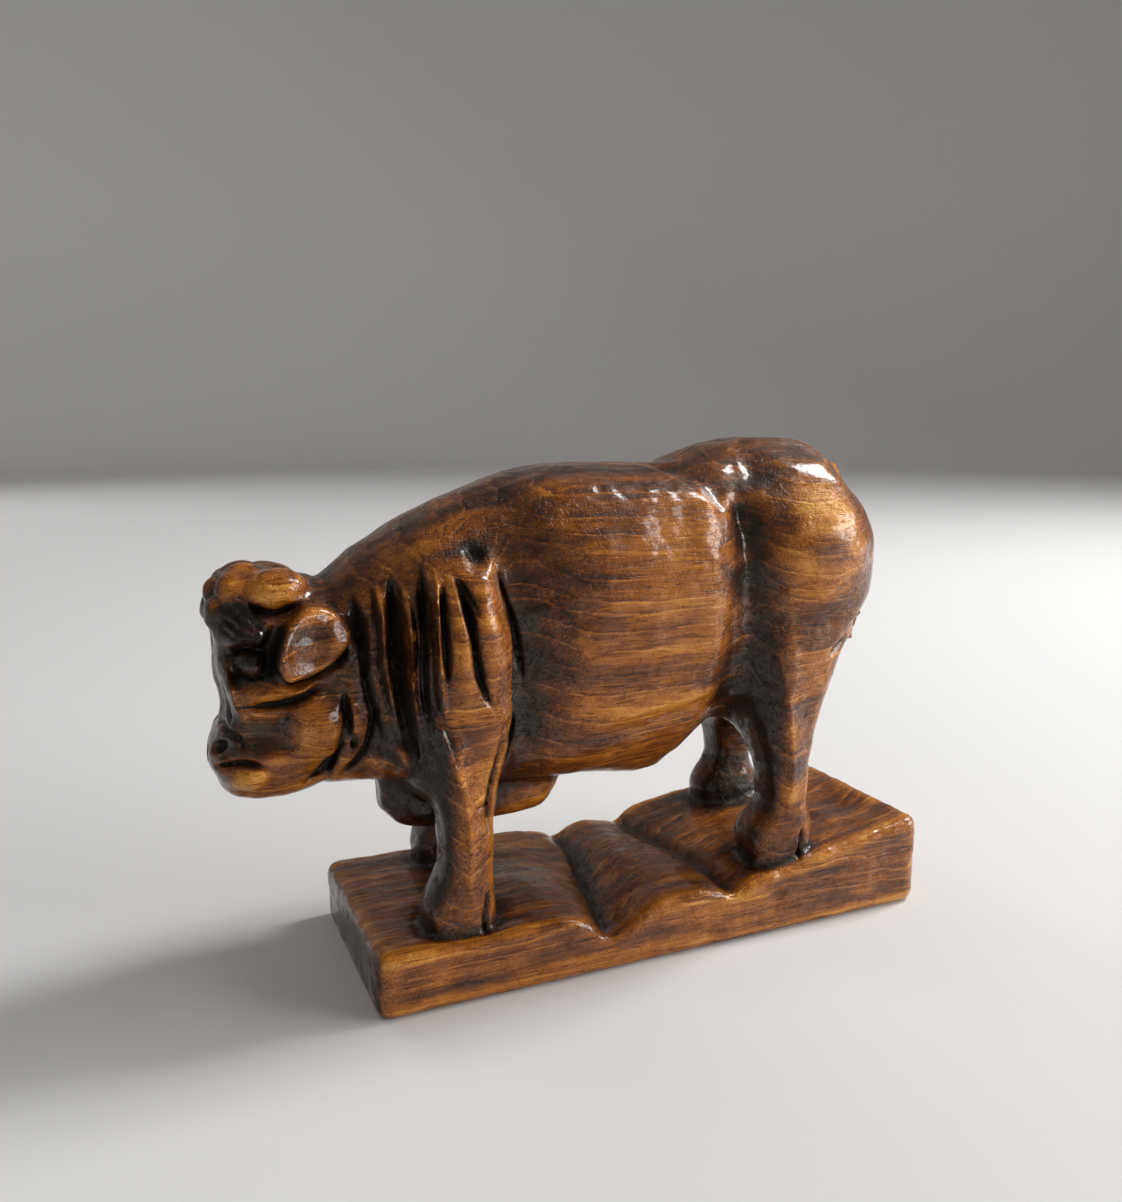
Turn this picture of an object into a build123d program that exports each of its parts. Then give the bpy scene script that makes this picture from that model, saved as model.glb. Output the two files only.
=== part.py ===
from build123d import *
from math import cos, log, pi, sin, sqrt
import os

# A carved softwood bull standing on a strip of ground. +X points to the tail and -X to the
# muzzle; -Y is the animal's left side. The origin is the centre of the plinth's underside.
# Sizes are in millimetres.

# Plinth
PLINTH_LENGTH = 200.0
PLINTH_WIDTH = 76.0
PLINTH_HEIGHT = 20.5  # ground at the fore feet
PLINTH_RISE = 12.0  # how much higher the ground ends under the tail
PLINTH_CORNER = 4.0  # radius of the four upright edges
PLINTH_EDGE = 1.5  # radius round the top
DIP_PLACE = 17.0  # the hollow across the ground lies this far ahead of the middle
DIP_LENGTH = 32.0
DIP_DEPTH_LEFT = 8.0
DIP_DEPTH_RIGHT = 2.5
CREASE_PLACE = 17.0  # the crease across the ground lies this far behind the middle
CREASE_LENGTH = 16.0
CREASE_DEPTH = 2.5
SLANT = 9.0  # hollow and crease come this much closer together on the right edge
BANK = 2.0  # step up behind the crease on the right edge

# Where the legs stand
FORE_SETBACK = 31.0  # fore end of the plinth to the middle of the forelegs
HIND_SETBACK = 53.0  # tail end of the plinth to the middle of the hind legs
STAGGER = 10.5  # the right hooves stand this much further aft
HOOF_MARGIN = 4.0  # hoof to the long edge of the plinth

# Trunk
BELLY_CLEARANCE = 37.5  # ground to belly
BARREL_DEPTH = 101.0  # belly to back
BARREL_WIDTH = 74.0
BARREL_LENGTH = 34.0  # the stretch over which the barrel keeps its full width
KEEL_DEPTH = 5.5  # the sheath ridge hangs this far below the belly
CHEST_WIDTH = 60.0
CHEST_REACH = 11.0  # the chest ends this far ahead of the forelegs
WITHERS_DROP = 16.5  # back to the top of the chest's front face
WAIST_WIDTH = 60.0  # across the trunk ahead of the haunches
FLANK_RISE = 14.0  # belly to the underside of the trunk between the haunches
CROUP_RISE = 9.0  # back to the top of the croup
CROUP_WIDTH = 56.0
RUMP_SETBACK = 11.0  # the croup starts to round off this far behind the hind legs
RUMP_LENGTH = 30.0  # the stretch over which it rounds off
RUMP_DROP = 41.0  # croup to the level where the rump reaches furthest aft

# Neck and head
NECK_LENGTH = 26.0
NECK_DROP = 33.0  # back to the top of the neck where the head begins
NECK_WIDTH = 38.0
NECK_CREST = 2.0  # rise of the neck's top line above a straight one
THROAT_RISE = 6.0  # belly to the underside of the neck
HEAD_SEAT = 5.0  # how far the head wraps round the end of the neck
HEAD_HEIGHT = 65.0
HEAD_WIDTH = 42.0
HEAD_DEPTH = 39.0  # nose to the back of the jaw
CHIN_RISE = 5.5  # belly to chin
FORELOCK_LENGTH = 20.0
FORELOCK_WIDTH = 26.0
FORELOCK_HEIGHT = 14.0
FORELOCK_SETBACK = 14.5  # nose to the middle of the forelock
FORELOCK_DROP = 3.5  # top of the head to the middle of the forelock
EAR_HEIGHT = 23.0
EAR_LENGTH = 20.0  # fore and aft
EAR_THICKNESS = 17.0
EAR_STAND = 4.0  # how far an ear's middle stands out from the side of the head
EAR_SETBACK = 29.0  # nose to the middle of the ear
EAR_DROP = 19.0  # top of the head to the middle of the ear

# Brisket, the fold of skin that hangs between the forelegs
BRISKET_DROP = 14.0  # belly to its lowest point
BRISKET_WIDTH = 25.0
BRISKET_LENGTH = 62.0
BRISKET_SHIFT = 10.0  # its middle lies this far behind the forelegs

# Legs
SHOULDER_STAND = 7.5  # how far the shoulder stands out from the chest
SHOULDER_LENGTH = 33.0
SHOULDER_DROP = 26.0  # back to the top of the shoulder
HAUNCH_STAND = 9.5  # how far the haunch stands out from the croup
HAUNCH_LENGTH = 52.0
HAUNCH_DROP = 8.0  # croup to the top of the haunch
KNEE_LENGTH = 26.0  # the hind leg level with the flank
ELBOW_LENGTH = 24.0  # the foreleg level with the belly's underside
CANNON_LENGTH = 16.5  # fore and aft
CANNON_WIDTH = 16.5
HOOF_HEIGHT = 12.0
HOOF_WIDTH = 19.0
FORE_HOOF_LENGTH = 22.5
HIND_HOOF_LENGTH = 27.0
TOE_REACH = 2.0  # a hoof's middle lies this far ahead of its leg

# Tail
TAIL_WIDTH = 9.0
TAIL_THICKNESS = 5.0  # how far it stands out from the rump
TAIL_LENGTH = 68.0
TAIL_DROP = 9.0  # croup to the root of the tail
TAIL_CURL = 4.0  # how much further out the tuft at its end stands

# Branch knot high in the left side of the chest
KNOT_DIAMETER = 9.5
KNOT_DEPTH = 11.0
KNOT_SHIFT = 4.0  # behind the forelegs
KNOT_LEVEL = 0.66  # its height, as a share of the chest's half depth
KNOT_SPREAD = 0.15  # growth of its radius for each millimetre outwards

# Roundness of a section: 0.707 is an ellipse, and nearer to 1 is boxier
KEEL = 0.69
ROUND = 0.73
FULL = 0.78
BOXY = 0.82
SINK = 6.0  # how far a piece runs into a larger neighbour before it is trimmed
RUMP_TURNS = [pi / 2 * share for share in (0.0, 0.2, 0.4, 0.6, 0.75, 0.87, 0.95)]  # sections of the rump

# Levels and stations that several pieces share
ground = PLINTH_HEIGHT
belly = ground + BELLY_CLEARANCE
back = belly + BARREL_DEPTH
croup = back + CROUP_RISE
fore = -PLINTH_LENGTH / 2 + FORE_SETBACK
hind = PLINTH_LENGTH / 2 - HIND_SETBACK
middle = (fore + hind) / 2
chest_front = fore - CHEST_REACH
neck_front = chest_front - NECK_LENGTH
nose = neck_front + HEAD_SEAT - HEAD_DEPTH
chin = belly + CHIN_RISE
poll = chin + HEAD_HEIGHT
rump_start = hind + RUMP_SETBACK
rump_level = croup - RUMP_DROP
hoof_outer = PLINTH_WIDTH / 2 - HOOF_MARGIN
hoof_inner = hoof_outer - HOOF_WIDTH
cannon_inner = hoof_outer - CANNON_WIDTH
leg_inner = CANNON_WIDTH / 2  # shoulder and haunch run into the trunk to here

# Head sections from chin to poll: share of the head's height, shares of its depth to the face
# and to the nape, and share of its width
HEAD_SECTIONS = (
    (0.00, 0.22, 0.68, 0.42),  # chin
    (0.08, 0.07, 0.90, 0.68),
    (0.20, 0.00, 0.95, 0.78),  # nose
    (0.45, 0.14, 1.00, 0.88),  # bridge of the nose
    (0.64, 0.08, 1.00, 1.00),  # brow
    (0.80, 0.09, 1.00, 0.92),
    (0.92, 0.20, 0.95, 0.70),
    (1.00, 0.36, 0.80, 0.32),  # poll
)


def gentle(one, other):
    """The slope to pass a station with: level at a peak, else between the slopes on its two sides."""
    return 2 * one * other / (one + other) if one * other > 0 else 0.0


def smooth(stations, place):
    """The values at a place along rows of (place, value, ...), through every row with no overshoot."""
    last = len(stations) - 2
    k = sum(1 for row in stations[1:-1] if row[0] <= place)
    before = stations[k]
    after = stations[k + 1]
    span = after[0] - before[0]
    t = (place - before[0]) / span
    values = []
    for column in range(1, len(before)):
        slopes = [(b[column] - a[column]) / (b[0] - a[0]) for a, b in zip(stations, stations[1:])]
        start = gentle(slopes[max(k - 1, 0)], slopes[k])
        end = gentle(slopes[k], slopes[min(k + 1, last)])
        rise = t * t * (3 - 2 * t) * (after[column] - before[column])
        bend = span * t * (1 - t) * ((1 - t) * start - t * end)
        values.append(before[column] + rise + bend)
    return values


def even_places(stations, count):
    """Places spread evenly from the first station to the last."""
    first = stations[0][0]
    last = stations[-1][0]
    return [first + (last - first) * k / (count - 1) for k in range(count)]


def squareness(fullness):
    """The power of the rounded square whose corners lie at that share of its half axes."""
    return log(0.5) / log(fullness)


def ring(centre, across, up, fullness, lower_fullness=None):
    """A closed section on two half axes: a rounded square, whose lower half may be rounder."""
    points = []
    for k in range(16):
        angle = 2 * pi * (k + 0.5) / 16
        power = 2 / squareness(fullness if sin(angle) > 0 else lower_fullness or fullness)
        wide = abs(cos(angle)) ** power * (1 if cos(angle) > 0 else -1)
        tall = abs(sin(angle)) ** power * (1 if sin(angle) > 0 else -1)
        points.append(Vector(centre) + Vector(across) * wide + Vector(up) * tall)
    return Wire([Edge.make_spline(points, periodic=True)])


def along_body(stations, places):
    """A form along X; each station gives x, underside, top, width and the fullness above and below."""
    rings = []
    for x in places:
        low, high, width, above, below = smooth(stations, x)
        centre = (x, 0, (low + high) / 2)
        rings.append(ring(centre, (0, width / 2, 0), (0, 0, (high - low) / 2), above, below))
    return Solid.make_loft(rings)


def upwards(stations, count, fullness=FULL):
    """A form along Z; each station gives z, front, rear and the y of its two sides."""
    rings = []
    for z in even_places(stations, count):
        front, rear, one_side, other_side = smooth(stations, z)
        centre = ((front + rear) / 2, (one_side + other_side) / 2, z)
        across = ((rear - front) / 2, 0, 0)
        rings.append(ring(centre, across, (0, (other_side - one_side) / 2, 0), fullness))
    return Solid.make_loft(rings)


def egg(centre, length, width, height):
    """A rounded lump, as level sections of an ellipsoid."""
    rings = []
    for share in (-0.97, -0.8, -0.45, 0.0, 0.45, 0.8, 0.97):
        swell = sqrt(1 - share * share) / 2
        level = Vector(centre) + Vector(0, 0, share * height / 2)
        rings.append(ring(level, (length * swell, 0, 0), (0, width * swell, 0), ROUND))
    return Solid.make_loft(rings)


def trimmed(piece, *larger):
    """The piece without what its larger neighbours fill, as one solid."""
    for neighbour in larger:
        piece = piece - neighbour
    return max(piece.solids(), key=lambda solid: solid.volume)


def ground_side(y, dip_x, dip_depth, crease_x, bank):
    """One long side of the plinth, with the ground line as its upper edge."""
    half = PLINTH_LENGTH / 2
    stations = (
        (-half, ground),
        (dip_x - DIP_LENGTH / 2, ground),
        (dip_x, ground - dip_depth),
        (dip_x + DIP_LENGTH / 2, ground),
        (crease_x - CREASE_LENGTH / 2, ground),
        (crease_x, ground - CREASE_DEPTH),
        (crease_x + CREASE_LENGTH / 2, ground + bank),
        (half, ground + PLINTH_RISE),
    )
    top = Edge.make_spline([(x, y, *smooth(stations, x)) for x in even_places(stations, 21)])
    corners = [(half, y, ground + PLINTH_RISE), (half, y, 0), (-half, y, 0), (-half, y, ground)]
    return Wire([top, *(Edge.make_line(start, end) for start, end in zip(corners, corners[1:]))])


def make_plinth():
    side = PLINTH_WIDTH / 2
    left = ground_side(-side, -DIP_PLACE - SLANT / 2, DIP_DEPTH_LEFT, CREASE_PLACE + SLANT / 2, 0)
    right = ground_side(side, -DIP_PLACE + SLANT / 2, DIP_DEPTH_RIGHT, CREASE_PLACE - SLANT / 2, BANK)
    block = Solid.make_loft([left, right], ruled=True)
    block = fillet(block.edges().filter_by(Axis.Z), PLINTH_CORNER)
    rim = [edge for edge in block.edges() if edge.bounding_box().min.Z > 0]
    return fillet(rim, PLINTH_EDGE).solid()


def trunk_stations():
    barrel_front = middle - BARREL_LENGTH / 2
    barrel_rear = middle + BARREL_LENGTH / 2
    waist = (barrel_rear + hind) / 2
    rump_low = belly + FLANK_RISE + KEEL_DEPTH
    stations = [
        (chest_front, belly + THROAT_RISE / 2, back - WITHERS_DROP, CHEST_WIDTH, FULL, FULL),
        (fore + KNOT_SHIFT, belly, back - WITHERS_DROP / 2, CHEST_WIDTH, FULL, FULL),
        (barrel_front, belly, back, BARREL_WIDTH, BOXY, FULL),
        (middle + KEEL_DEPTH * 2, belly - KEEL_DEPTH, back, BARREL_WIDTH, BOXY, KEEL),
        (barrel_rear + KEEL_DEPTH, belly, back, BARREL_WIDTH, BOXY, KEEL),
        (waist, belly + FLANK_RISE * 2 / 3, back + CROUP_RISE * 2 / 3, WAIST_WIDTH, FULL, KEEL),
        (hind, belly + FLANK_RISE, croup, CROUP_WIDTH, FULL, FULL),
    ]
    for turn in RUMP_TURNS:
        swell = cos(turn)
        low = rump_level - swell * (rump_level - rump_low)
        high = rump_level + swell * RUMP_DROP
        x = rump_start + sin(turn) * RUMP_LENGTH
        stations.append((x, low, high, CROUP_WIDTH * swell, ROUND, FULL))
    return stations


def make_trunk():
    stations = trunk_stations()
    rump = [station[0] for station in stations[-len(RUMP_TURNS):]]
    return along_body(stations, even_places(stations[:-len(RUMP_TURNS) + 1], 19) + rump[1:])


def make_neck():
    high = back - (WITHERS_DROP + NECK_DROP) / 2 + NECK_CREST
    width = (CHEST_WIDTH + NECK_WIDTH) / 2
    stations = (
        (neck_front, belly + THROAT_RISE, back - NECK_DROP, NECK_WIDTH, FULL, FULL),
        ((chest_front + neck_front) / 2, belly + THROAT_RISE, high, width, FULL, FULL),
        trunk_stations()[0],
    )
    return along_body(stations, even_places(stations, 5))


def make_head():
    stations = []
    for height, face, nape, width in HEAD_SECTIONS:
        half = HEAD_WIDTH / 2 * width
        stations.append((chin + height * HEAD_HEIGHT, nose + face * HEAD_DEPTH, nose + nape * HEAD_DEPTH,
                         -half, half))
    return upwards(stations, 14)


def make_forelock():
    centre = (nose + FORELOCK_SETBACK, 0, poll - FORELOCK_DROP)
    return egg(centre, FORELOCK_LENGTH, FORELOCK_WIDTH, FORELOCK_HEIGHT)


def make_ear(side):
    centre = (nose + EAR_SETBACK, side * (HEAD_WIDTH / 2 + EAR_STAND), poll - EAR_DROP)
    return egg(centre, EAR_LENGTH, EAR_THICKNESS, EAR_HEIGHT)


def make_brisket():
    centre = fore + BRISKET_SHIFT
    top = belly + SINK * 2
    level = (top + belly - BRISKET_DROP) / 2
    stations = []
    for share in (-0.98, -0.88, -0.6, 0.0, 0.6, 0.88, 0.98):
        swell = (1 - abs(share) ** 3) ** (1 / 3)
        x = centre + share * BRISKET_LENGTH / 2
        half = swell * (top - level)
        stations.append((x, level - half, level + half, BRISKET_WIDTH * swell, FULL, FULL))
    return along_body(stations, even_places(stations, 12))


def make_leg(sections, side, count):
    """A leg from hoof to shoulder or haunch; each section gives its height, its middle and its
    length fore and aft, and the distances of its inner and outer sides from the midplane."""
    elbow = belly + SINK * 5
    knee = belly - SINK
    stations = []
    for z, centre, length, inner, outer in sections:
        lag = max(0.0, min(1.0, (elbow - z) / (elbow - knee)))
        x = centre + (lag * STAGGER if side > 0 else 0.0)
        stations.append((z, x - length / 2, x + length / 2, side * inner, side * outer))
    return upwards(stations, count)


def make_foreleg(side):
    stand = CHEST_WIDTH / 2 + SHOULDER_STAND
    toe = fore - TOE_REACH
    shoulder = fore + TOE_REACH
    sections = (
        (ground - SINK, toe, FORE_HOOF_LENGTH - TOE_REACH, hoof_inner, hoof_outer),
        (ground + HOOF_HEIGHT / 2, toe, FORE_HOOF_LENGTH, hoof_inner, hoof_outer),
        (ground + HOOF_HEIGHT, toe, FORE_HOOF_LENGTH - TOE_REACH, hoof_inner, hoof_outer),
        (ground + HOOF_HEIGHT * 3 / 2, fore, CANNON_LENGTH, cannon_inner, hoof_outer),
        (belly - SINK, fore, CANNON_LENGTH, cannon_inner, hoof_outer),
        (belly + SINK * 2, fore, ELBOW_LENGTH, leg_inner, stand - TOE_REACH),
        (belly + SINK * 6, shoulder, SHOULDER_LENGTH, leg_inner, stand),
        (back - SHOULDER_DROP * 2, shoulder, SHOULDER_LENGTH, leg_inner, stand),
        (back - SHOULDER_DROP * 5 / 4, shoulder, SHOULDER_LENGTH * 3 / 4, leg_inner, stand - TOE_REACH),
        (back - SHOULDER_DROP, shoulder, CANNON_LENGTH / 2, CANNON_WIDTH, stand - SINK),
    )
    return make_leg(sections, side, 18)


def make_hind_leg(side):
    stand = CROUP_WIDTH / 2 + HAUNCH_STAND
    toe = hind - TOE_REACH
    haunch = hind + TOE_REACH * 2
    sections = (
        (ground - SINK, toe, HIND_HOOF_LENGTH - TOE_REACH * 2, hoof_inner, hoof_outer),
        (ground + HOOF_HEIGHT / 2, toe, HIND_HOOF_LENGTH - TOE_REACH, hoof_inner, hoof_outer),
        (ground + HOOF_HEIGHT, toe, HIND_HOOF_LENGTH, hoof_inner, hoof_outer),
        (ground + HOOF_HEIGHT * 7 / 4, hind, CANNON_LENGTH, cannon_inner, hoof_outer),
        (belly - SINK, hind, CANNON_LENGTH, cannon_inner, hoof_outer),
        (belly + FLANK_RISE, hind - TOE_REACH / 2, KNEE_LENGTH, leg_inner, stand - TOE_REACH),
        (belly + SINK * 6, hind, (KNEE_LENGTH + HAUNCH_LENGTH) / 2, leg_inner, stand),
        (rump_level - SINK, haunch + TOE_REACH, HAUNCH_LENGTH, leg_inner, stand),
        (rump_level + SINK, haunch + TOE_REACH, HAUNCH_LENGTH, leg_inner, stand),
        (croup - HAUNCH_DROP * 9 / 4, haunch, HAUNCH_LENGTH * 3 / 4, leg_inner, stand - TOE_REACH * 2),
        (croup - HAUNCH_DROP, haunch, KNEE_LENGTH / 2, CANNON_WIDTH, stand - SINK * 2),
    )
    return make_leg(sections, side, 22)


def rump_surface(z):
    """Where the rump's rear line lies at height z."""
    share = (z - rump_level) / (RUMP_DROP if z > rump_level else rump_level - belly)
    return rump_start + RUMP_LENGTH * sqrt(1 - share * share)


def make_tail():
    root = croup - TAIL_DROP
    half = TAIL_WIDTH / 2
    stations = []
    for share in (1.0, 0.9, 0.7, 0.4, 0.15, 0.0):
        z = root - share * TAIL_LENGTH
        rear = rump_surface(max(z, rump_level)) + TAIL_THICKNESS + TAIL_CURL * max(0.0, share * 3 - 2)
        stations.append((z, rump_surface(z) - SINK, rear, -half, half))
    return upwards(stations, 9, ROUND)


def make_knot():
    """A branch stub that widens outwards, square to the chest's upper left side."""
    x = fore + KNOT_SHIFT
    low, high, width, above, below = smooth(trunk_stations(), x)
    half_width = width / 2
    half_height = (high - low) / 2
    power = squareness(above)
    reach = (1 - KNOT_LEVEL ** power) ** (1 / power)
    place = Vector(x, -half_width * reach, low + half_height * (1 + KNOT_LEVEL))
    outward = Vector(0, -reach / half_width, KNOT_LEVEL / half_height).normalized()
    stub = Plane(origin=place - outward * KNOT_DEPTH, z_dir=outward)
    radius = KNOT_DIAMETER / 2
    return Solid.make_cone(radius - KNOT_DEPTH * KNOT_SPREAD, radius + SINK * KNOT_SPREAD,
                           KNOT_DEPTH + SINK, stub)


plinth = make_plinth()
whole_trunk = make_trunk()
knot_stub = make_knot()
trunk = trimmed(whole_trunk, knot_stub)
knot = (knot_stub & whole_trunk).solid()
neck = make_neck()
head = trimmed(make_head(), neck)
forelock = trimmed(make_forelock(), head, neck)
left_ear = trimmed(make_ear(-1), head, neck)
right_ear = trimmed(make_ear(1), head, neck)
brisket = trimmed(make_brisket(), trunk, neck)
left_foreleg = trimmed(make_foreleg(-1), whole_trunk, neck, brisket, plinth)
right_foreleg = trimmed(make_foreleg(1), trunk, neck, brisket, plinth)
left_hind_leg = trimmed(make_hind_leg(-1), trunk, plinth)
right_hind_leg = trimmed(make_hind_leg(1), trunk, plinth)
tail = trimmed(make_tail(), trunk, left_hind_leg, right_hind_leg)

pieces = {
    "plinth": plinth,
    "trunk": trunk,
    "knot": knot,
    "neck": neck,
    "head": head,
    "forelock": forelock,
    "left_ear": left_ear,
    "right_ear": right_ear,
    "brisket": brisket,
    "left_foreleg": left_foreleg,
    "right_foreleg": right_foreleg,
    "left_hind_leg": left_hind_leg,
    "right_hind_leg": right_hind_leg,
    "tail": tail,
}
os.makedirs("parts", exist_ok=True)
for name, piece in pieces.items():
    export_step(piece, f"parts/{name}.step")
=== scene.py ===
import math

import bpy
import numpy as np
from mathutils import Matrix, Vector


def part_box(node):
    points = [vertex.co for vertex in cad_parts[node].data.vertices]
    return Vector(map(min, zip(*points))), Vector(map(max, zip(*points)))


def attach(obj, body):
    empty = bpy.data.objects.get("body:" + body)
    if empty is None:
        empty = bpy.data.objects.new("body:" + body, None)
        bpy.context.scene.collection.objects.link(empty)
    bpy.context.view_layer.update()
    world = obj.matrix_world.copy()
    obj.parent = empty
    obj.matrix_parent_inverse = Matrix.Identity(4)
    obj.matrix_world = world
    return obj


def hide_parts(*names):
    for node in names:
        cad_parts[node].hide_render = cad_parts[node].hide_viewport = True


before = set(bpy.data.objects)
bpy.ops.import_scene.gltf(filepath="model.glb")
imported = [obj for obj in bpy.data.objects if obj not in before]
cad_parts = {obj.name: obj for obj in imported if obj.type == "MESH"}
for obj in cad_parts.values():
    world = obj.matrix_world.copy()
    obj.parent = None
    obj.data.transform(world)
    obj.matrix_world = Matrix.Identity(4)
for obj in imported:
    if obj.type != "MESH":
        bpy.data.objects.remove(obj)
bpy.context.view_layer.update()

import openvdb
from mathutils import Euler, Vector, noise

# Millimetres are the carver's unit here: a mesh is turned to metres as it is made.
MM = 0.001

# The block that the bull is carved from, as a grid of distances to its surface.
GRAIN = 0.6      # from one point of the block to the next
REACH = 9.0      # how far from a form's surface its distance is known
SPARE = 5.0      # room left round the solids

# How softly each form runs into those joined before it, in the order of joining.
JOINS = {
    "trunk": 1.0,
    "neck": 9.0,
    "brisket": 4.0,
    "left_foreleg": 8.0,
    "right_foreleg": 8.0,
    "left_hind_leg": 11.0,
    "right_hind_leg": 11.0,
    "tail": 2.0,
    "knot": 1.0,
    "head": 4.0,
    "forelock": 2.0,
}
LEGS = ["left_foreleg", "right_foreleg", "left_hind_leg", "right_hind_leg"]
NOBODY = -1   # the owner of a loose scrap, which is brushed away
CAP_DEPTH = 0.5   # how far a piece's inner faces reach in, as a share of their rim's radius
CAP_STEP = 4.0    # and how far they first go straight in from it
SLOTS = {"plinth": "ground_wood", "knot": "knot_wood"}
MASKS = {"crease": 0.9, "hollow": 3.2, "dell": 7.5}   # how far round a point its crowding is felt
UNEVENNESS = [(11.0, 0.40), (4.5, 0.18), (2.0, 0.06)]   # the size and height of the hand's unevenness
KNIFE_MARKS = (9.0, 6.0, 6.0)   # the length, width and height of one stroke's mark
KNIFE_DEPTH = 0.30              # and its depth
UNDERSIDE = 3.0   # the underside stays flat, and the unevenness begins this far above it
HOOF_ROOT = 4.0   # the hoof's outline is carried down from this far above its sole

# Broad forms in the side view: node, centre as shares of its length and height, half length,
# half height, how far they stand out or, below nothing, sink in, and their turn in degrees.
SWELLS = [
    ("left_hind_leg", (0.50, 0.80), 24, 26, 3.4, 0),       # the haunch's dome
    ("trunk", (0.42, 0.55), 36, 40, 1.2, 0),               # the barrel
    ("trunk", (0.175, 0.46), 15, 60, -3.6, 3),             # behind the shoulder
    ("left_foreleg", (0.68, 0.80), 9.5, 22, 2.2, 10),      # the shoulder's rear lobe
    ("left_foreleg", (0.34, 0.77), 6.0, 21, 1.6, 6),       # the shoulder's front lobe
    ("head", (0.86, 0.33), 10.0, 15.0, 4.4, 6),            # the jowl
    ("head", (0.33, 0.655), 11.0, 10.0, -4.8, 15),         # the eye's socket
    ("head", (0.34, 0.655), 5.8, 5.0, 4.6, 0),             # the eyeball
    ("head", (0.53, 0.70), 4.8, 11.0, -4.6, -8),           # in front of the ear
    ("head", (0.30, 0.125), 7.5, 4.6, 2.6, 8),             # the lower lip
    ("head", (0.10, 0.265), 4.2, 2.4, -2.2, 40),           # the nostril
    ("head", (0.42, 0.33), 8.0, 8.0, -3.0, 35),            # the hollow above the muzzle
    ("neck", (0.62, 0.16), 9.0, 10.0, 2.2, 0),             # the throat's lobe
    ("tail", (0.90, -0.06), 12.0, 9.0, -2.0, 0),           # the tip of the tail's tuft
    ("knot", (0.50, 0.50), 4.6, 5.0, -1.4, 0),             # the knot, shrunk below its rim
]

# Passes of the round gouge in the side view: node, line as shares, width and depth.
GOUGES = [
    ("trunk", [(0.59, 0.85), (0.63, 0.78), (0.645, 0.70), (0.655, 0.58), (0.668, 0.44), (0.675, 0.30),
               (0.68, 0.16)], 9.5, 2.4),                                            # the flank
    ("trunk", [(0.64, 0.87), (0.72, 0.915), (0.83, 0.925), (0.92, 0.89)], 7.0, 1.4),  # over the haunch
    ("neck", [(0.66, 0.86), (0.65, 0.66), (0.66, 0.48), (0.76, 0.28), (0.90, 0.08)], 3.4, 1.3),   # the folds
    ("neck", [(0.94, 0.90), (0.93, 0.68), (0.90, 0.48), (0.94, 0.30), (1.06, 0.10)], 3.4, 1.4),
    ("neck", [(0.22, 0.80), (0.30, 0.62), (0.34, 0.44), (0.48, 0.24), (0.70, 0.06)], 4.0, 1.6),
    ("head", [(0.66, 0.43), (0.58, 0.33), (0.60, 0.22)], 6.0, 1.6),                   # before the jowl
]

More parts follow.
